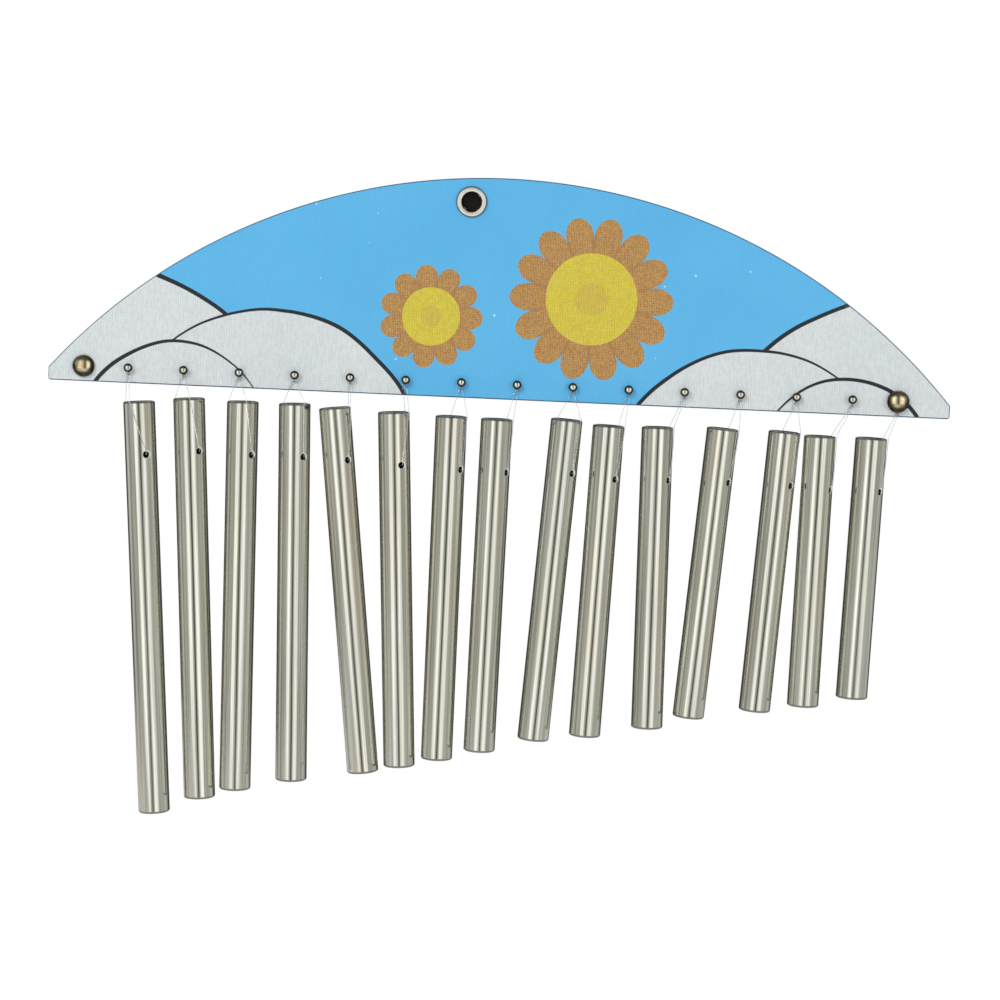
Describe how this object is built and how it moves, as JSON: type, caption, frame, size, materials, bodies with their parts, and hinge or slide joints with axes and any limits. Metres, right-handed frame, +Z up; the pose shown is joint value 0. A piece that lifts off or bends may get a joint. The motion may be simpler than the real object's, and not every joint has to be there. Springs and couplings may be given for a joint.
{
  "type": "tube chimes",
  "caption": "Arched hanging board with a row of open metal tubes of falling length, each hung from a nail on a thin nylon line.",
  "frame": {"origin": "middle of the hanging eyelet on the board's back face, where the wall hook bears", "axes": "+X to the viewer's right along the board, +Y into the wall, +Z up; the printed face looks to -Y"},
  "size_m": [0.454, 0.0213, 0.3287],
  "materials": {
    "board_paint": "fibreboard, edges and back painted sky blue, satin",
    "printed_film": "printed vinyl film with a fine linen emboss, low sheen",
    "nickel": "nickel plated, bright, slightly rubbed",
    "antique_brass": "antique brass, dark in the hollows, polished on the dome",
    "aluminium": "drawn aluminium tube, polished lengthwise, fine drawing lines",
    "nylon": "clear nylon line"
  },
  "bodies": {
    "board": {"board": "board_paint", "print_film": "printed_film", "eyelet": "nickel", "eyelet_washer": "nickel", "large_nail_left": "antique_brass", "large_nail_right": "antique_brass", "nail_01": "nickel", "nail_02": "nickel", "nail_03": "nickel", "nail_04": "nickel", "nail_05": "nickel", "nail_06": "nickel", "nail_07": "nickel", "nail_08": "nickel", "nail_09": "nickel", "nail_10": "nickel", "nail_11": "nickel", "nail_12": "nickel", "nail_13": "nickel", "nail_14": "nickel"},
    "line_01": {"line_01": "nylon"},
    "tube_01": {"tube_01": "aluminium"},
    "line_02": {"line_02": "nylon"},
    "tube_02": {"tube_02": "aluminium"},
    "line_03": {"line_03": "nylon"},
    "tube_03": {"tube_03": "aluminium"},
    "line_04": {"line_04": "nylon"},
    "tube_04": {"tube_04": "aluminium"},
    "line_05": {"line_05": "nylon"},
    "tube_05": {"tube_05": "aluminium"},
    "line_06": {"line_06": "nylon"},
    "tube_06": {"tube_06": "aluminium"},
    "line_07": {"line_07": "nylon"},
    "tube_07": {"tube_07": "aluminium"},
    "line_08": {"line_08": "nylon"},
    "tube_08": {"tube_08": "aluminium"},
    "line_09": {"line_09": "nylon"},
    "tube_09": {"tube_09": "aluminium"},
    "line_10": {"line_10": "nylon"},
    "tube_10": {"tube_10": "aluminium"},
    "line_11": {"line_11": "nylon"},
    "tube_11": {"tube_11": "aluminium"},
    "line_12": {"line_12": "nylon"},
    "tube_12": {"tube_12": "aluminium"},
    "line_13": {"line_13": "nylon"},
    "tube_13": {"tube_13": "aluminium"},
    "line_14": {"line_14": "nylon"},
    "tube_14": {"tube_14": "aluminium"},
    "line_15": {"line_15": "nylon"},
    "tube_15": {"tube_15": "aluminium"}
  },
  "joints": [
    {"name": "tube_01_swing", "type": "hinge", "parent": "board", "child": "line_01", "pos_m": [-0.1693, -0.01055, -0.0933], "axis": [-1, 0, 0], "range_deg": [-1, 60], "deforming": ["line_01"]},
    {"name": "tube_01_sideways", "type": "hinge", "parent": "line_01", "child": "tube_01", "pos_m": [-0.1693, -0.01055, -0.0933], "axis": [0, -1, 0], "range_deg": [-25, 1.9]},
    {"name": "tube_02_swing", "type": "hinge", "parent": "board", "child": "line_02", "pos_m": [-0.1413, -0.01055, -0.0933], "axis": [-1, 0, 0], "range_deg": [-1, 60], "deforming": ["line_02"]},
    {"name": "tube_02_sideways", "type": "hinge", "parent": "line_02", "child": "tube_02", "pos_m": [-0.1413, -0.01055, -0.0933], "axis": [0, -1, 0], "range_deg": [-1.9, 0.5]},
    {"name": "tube_03_swing", "type": "hinge", "parent": "board", "child": "line_03", "pos_m": [-0.1133, -0.01055, -0.0933], "axis": [-1, 0, 0], "range_deg": [-1, 60], "deforming": ["line_03"]},
    {"name": "tube_03_sideways", "type": "hinge", "parent": "line_03", "child": "tube_03", "pos_m": [-0.1133, -0.01055, -0.0933], "axis": [0, -1, 0], "range_deg": [-0.5, 3.4]},
    {"name": "tube_04_swing", "type": "hinge", "parent": "board", "child": "line_04", "pos_m": [-0.0853, -0.01055, -0.0933], "axis": [-1, 0, 0], "range_deg": [-1, 60], "deforming": ["line_04"]},
    {"name": "tube_04_sideways", "type": "hinge", "parent": "line_04", "child": "tube_04", "pos_m": [-0.0853, -0.01055, -0.0933], "axis": [0, -1, 0], "range_deg": [-3.4, 5.8]},
    {"name": "tube_05_swing", "type": "hinge", "parent": "board", "child": "line_05", "pos_m": [-0.0573, -0.01055, -0.0933], "axis": [-1, 0, 0], "range_deg": [-1, 60], "deforming": ["line_05"]},
    {"name": "tube_05_sideways", "type": "hinge", "parent": "line_05", "child": "tube_05", "pos_m": [-0.0573, -0.01055, -0.0933], "axis": [0, -1, 0], "range_deg": [-5.9, 0.7]},
    {"name": "tube_06_swing", "type": "hinge", "parent": "board", "child": "line_06", "pos_m": [-0.0293, -0.01055, -0.0933], "axis": [-1, 0, 0], "range_deg": [-1, 60], "deforming": ["line_06"]},
    {"name": "tube_06_sideways", "type": "hinge", "parent": "line_06", "child": "tube_06", "pos_m": [-0.0293, -0.01055, -0.0933], "axis": [0, -1, 0], "range_deg": [-0.7, 0.8]},
    {"name": "tube_07_swing", "type": "hinge", "parent": "board", "child": "line_07", "pos_m": [-0.0013, -0.01055, -0.0933], "axis": [-1, 0, 0], "range_deg": [-1, 60], "deforming": ["line_07"]},
    {"name": "tube_07_sideways", "type": "hinge", "parent": "line_07", "child": "tube_07", "pos_m": [-0.0013, -0.01055, -0.0933], "axis": [0, -1, 0], "range_deg": [-0.8, 1.6]},
    {"name": "tube_08_swing", "type": "hinge", "parent": "board", "child": "line_08", "pos_m": [0.0267, -0.01055, -0.0933], "axis": [-1, 0, 0], "range_deg": [-1, 60], "deforming": ["line_08"]},
    {"name": "tube_08_sideways", "type": "hinge", "parent": "line_08", "child": "tube_08", "pos_m": [0.0267, -0.01055, -0.0933], "axis": [0, -1, 0], "range_deg": [-1.6, 3.4]},
    {"name": "tube_09_swing", "type": "hinge", "parent": "board", "child": "line_09", "pos_m": [0.0547, -0.01055, -0.0933], "axis": [-1, 0, 0], "range_deg": [-1, 60], "deforming": ["line_09"]},
    {"name": "tube_09_sideways", "type": "hinge", "parent": "line_09", "child": "tube_09", "pos_m": [0.0547, -0.01055, -0.0933], "axis": [0, -1, 0], "range_deg": [-3.4, 3.1]},
    {"name": "tube_10_swing", "type": "hinge", "parent": "board", "child": "line_10", "pos_m": [0.0827, -0.01055, -0.0933], "axis": [-1, 0, 0], "range_deg": [-1, 60], "deforming": ["line_10"]},
    {"name": "tube_10_sideways", "type": "hinge", "parent": "line_10", "child": "tube_10", "pos_m": [0.0827, -0.01055, -0.0933], "axis": [0, -1, 0], "range_deg": [-3.1, 5]},
    {"name": "tube_11_swing", "type": "hinge", "parent": "board", "child": "line_11", "pos_m": [0.1107, -0.01055, -0.0933], "axis": [-1, 0, 0], "range_deg": [-1, 60], "deforming": ["line_11"]},
    {"name": "tube_11_sideways", "type": "hinge", "parent": "line_11", "child": "tube_11", "pos_m": [0.1107, -0.01055, -0.0933], "axis": [0, -1, 0], "range_deg": [-5, 1.5]},
    {"name": "tube_12_swing", "type": "hinge", "parent": "board", "child": "line_12", "pos_m": [0.1387, -0.01055, -0.0933], "axis": [-1, 0, 0], "range_deg": [-1, 60], "deforming": ["line_12"]},
    {"name": "tube_12_sideways", "type": "hinge", "parent": "line_12", "child": "tube_12", "pos_m": [0.1387, -0.01055, -0.0933], "axis": [0, -1, 0], "range_deg": [-1.5, 6]},
    {"name": "tube_13_swing", "type": "hinge", "parent": "board", "child": "line_13", "pos_m": [0.1667, -0.01055, -0.0933], "axis": [-1, 0, 0], "range_deg": [-1, 60], "deforming": ["line_13"]},
    {"name": "tube_13_sideways", "type": "hinge", "parent": "line_13", "child": "tube_13", "pos_m": [0.1667, -0.01055, -0.0933], "axis": [0, -1, 0], "range_deg": [-6, 2.9]},
    {"name": "tube_14_swing", "type": "hinge", "parent": "board", "child": "line_14", "pos_m": [0.1947, -0.01055, -0.0933], "axis": [-1, 0, 0], "range_deg": [-1, 60], "deforming": ["line_14"]},
    {"name": "tube_14_sideways", "type": "hinge", "parent": "line_14", "child": "tube_14", "pos_m": [0.1947, -0.01055, -0.0933], "axis": [0, -1, 0], "range_deg": [-2.9, 3.1]},
    {"name": "tube_15_swing", "type": "hinge", "parent": "board", "child": "line_15", "pos_m": [0.2175, -0.0103, -0.09665], "axis": [-1, 0, 0], "range_deg": [-1, 60], "deforming": ["line_15"]},
    {"name": "tube_15_sideways", "type": "hinge", "parent": "line_15", "child": "tube_15", "pos_m": [0.2175, -0.0103, -0.09665], "axis": [0, -1, 0], "range_deg": [-3.2, 25]}
  ]
}
